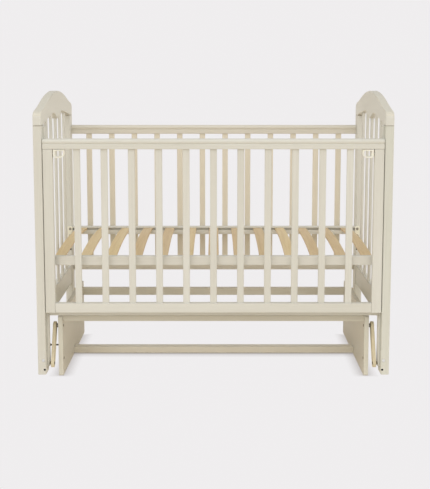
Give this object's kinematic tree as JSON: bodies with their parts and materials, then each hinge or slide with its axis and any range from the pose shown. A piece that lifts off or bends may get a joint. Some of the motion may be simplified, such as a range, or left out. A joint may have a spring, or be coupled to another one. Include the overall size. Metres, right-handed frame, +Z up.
{
  "type": "pendulum crib",
  "caption": "Slatted children's crib with arched end boards and a drop-down front side, hung on short swinging links from a low standing base.",
  "frame": {"origin": "on the floor, at the centre of the outer box, under the middle of the crib", "axes": "+X along the crib's length, to the right as seen from the drop side; +Y from the drop side to the rear; +Z up"},
  "size_m": [1.26, 0.67, 1.036],
  "materials": {
    "painted_wood": "satin ivory paint",
    "birch": "clear matt lacquer",
    "black_steel": "black",
    "zinc": "zinc plated",
    "ivory_plastic": "ivory, soft gloss",
    "white_plastic": "white, matt"
  },
  "bodies": {
    "base": {"base_left_board": "painted_wood", "base_right_board": "painted_wood", "base_front_crossbar": "painted_wood", "base_rear_crossbar": "painted_wood", "base_low_crossbar": "painted_wood", "upper_pivot_bolt_front_left": "black_steel", "upper_pivot_bolt_front_right": "black_steel", "upper_pivot_bolt_rear_left": "black_steel", "upper_pivot_bolt_rear_right": "black_steel", "swing_stop_bolt_front": "black_steel", "swing_stop_bolt_rear": "black_steel", "board_bolt_left": "black_steel", "board_bolt_right": "black_steel"},
    "link_front_left": {"link_front_left": "birch", "lower_pivot_bolt_front_left": "black_steel"},
    "link_front_right": {"link_front_right": "birch", "lower_pivot_bolt_front_right": "black_steel"},
    "link_rear_left": {"link_rear_left": "birch", "lower_pivot_bolt_rear_left": "black_steel"},
    "link_rear_right": {"link_rear_right": "birch", "lower_pivot_bolt_rear_right": "black_steel"},
    "crib": {"left_front_post": "painted_wood", "left_rear_post": "painted_wood", "right_front_post": "painted_wood", "right_rear_post": "painted_wood", "left_guide_batten": "painted_wood", "right_guide_batten": "painted_wood", "left_arch_board": "painted_wood", "right_arch_board": "painted_wood", "left_end_slats": "painted_wood", "right_end_slats": "painted_wood", "rear_top_rail": "painted_wood", "rear_slats": "painted_wood", "front_stretcher": "painted_wood", "bed_base": "birch", "bed_bracket_front_left": "white_plastic", "bed_bracket_front_right": "white_plastic", "bed_bracket_rear_left": "white_plastic", "bed_bracket_rear_right": "white_plastic", "foot_screw_left": "zinc", "foot_screw_right": "zinc"},
    "drop_side": {"drop_top_rail": "painted_wood", "drop_bottom_rail": "painted_wood", "drop_left_stile": "painted_wood", "drop_right_stile": "painted_wood", "drop_slat_01": "painted_wood", "drop_slat_02": "painted_wood", "drop_slat_03": "painted_wood", "drop_slat_04": "painted_wood", "drop_slat_05": "painted_wood", "drop_slat_06": "painted_wood", "drop_slat_07": "painted_wood", "drop_slat_08": "painted_wood", "drop_slat_09": "painted_wood", "drop_slat_10": "painted_wood", "drop_slat_11": "painted_wood", "latch_spring_left": "zinc", "latch_spring_right": "zinc"},
    "latch_left": {"latch_left": "ivory_plastic"},
    "latch_right": {"latch_right": "ivory_plastic"}
  },
  "joints": [
    {"name": "swing", "type": "hinge", "parent": "base", "child": "crib", "pos_m": [0, 0, 0.7084], "axis": [1, 0, 0], "range_deg": [-2.2, 2.2]},
    {"name": "link_swing_front_left", "type": "hinge", "parent": "base", "child": "link_front_left", "pos_m": [-0.582, -0.243, 0.184], "axis": [1, 0, 0], "range_deg": [-12, 12]},
    {"name": "link_swing_front_right", "type": "hinge", "parent": "base", "child": "link_front_right", "pos_m": [0.582, -0.243, 0.184], "axis": [1, 0, 0], "range_deg": [-12, 12]},
    {"name": "link_swing_rear_left", "type": "hinge", "parent": "base", "child": "link_rear_left", "pos_m": [-0.582, 0.243, 0.184], "axis": [1, 0, 0], "range_deg": [-12, 12]},
    {"name": "link_swing_rear_right", "type": "hinge", "parent": "base", "child": "link_rear_right", "pos_m": [0.582, 0.243, 0.184], "axis": [1, 0, 0], "range_deg": [-12, 12]},
    {"name": "drop_slide", "type": "slide", "parent": "crib", "child": "drop_side", "axis": [0, 0, -1], "range_m": [0, 0.15]},
    {"name": "latch_pull_left", "type": "slide", "parent": "drop_side", "child": "latch_left", "axis": [1, 0, 0], "range_m": [0, 0.007], "stiffness_N_per_m": 300, "springref_m": -0.006, "deforming": ["latch_spring_left"]},
    {"name": "latch_pull_right", "type": "slide", "parent": "drop_side", "child": "latch_right", "axis": [-1, 0, 0], "range_m": [0, 0.007], "stiffness_N_per_m": 300, "springref_m": -0.006, "deforming": ["latch_spring_right"]}
  ],
  "couplings": [
    {"joint": "link_swing_front_left", "follows": "swing", "ratio": 5.263},
    {"joint": "link_swing_front_right", "follows": "swing", "ratio": 5.263},
    {"joint": "link_swing_rear_left", "follows": "swing", "ratio": 5.263},
    {"joint": "link_swing_rear_right", "follows": "swing", "ratio": 5.263}
  ]
}
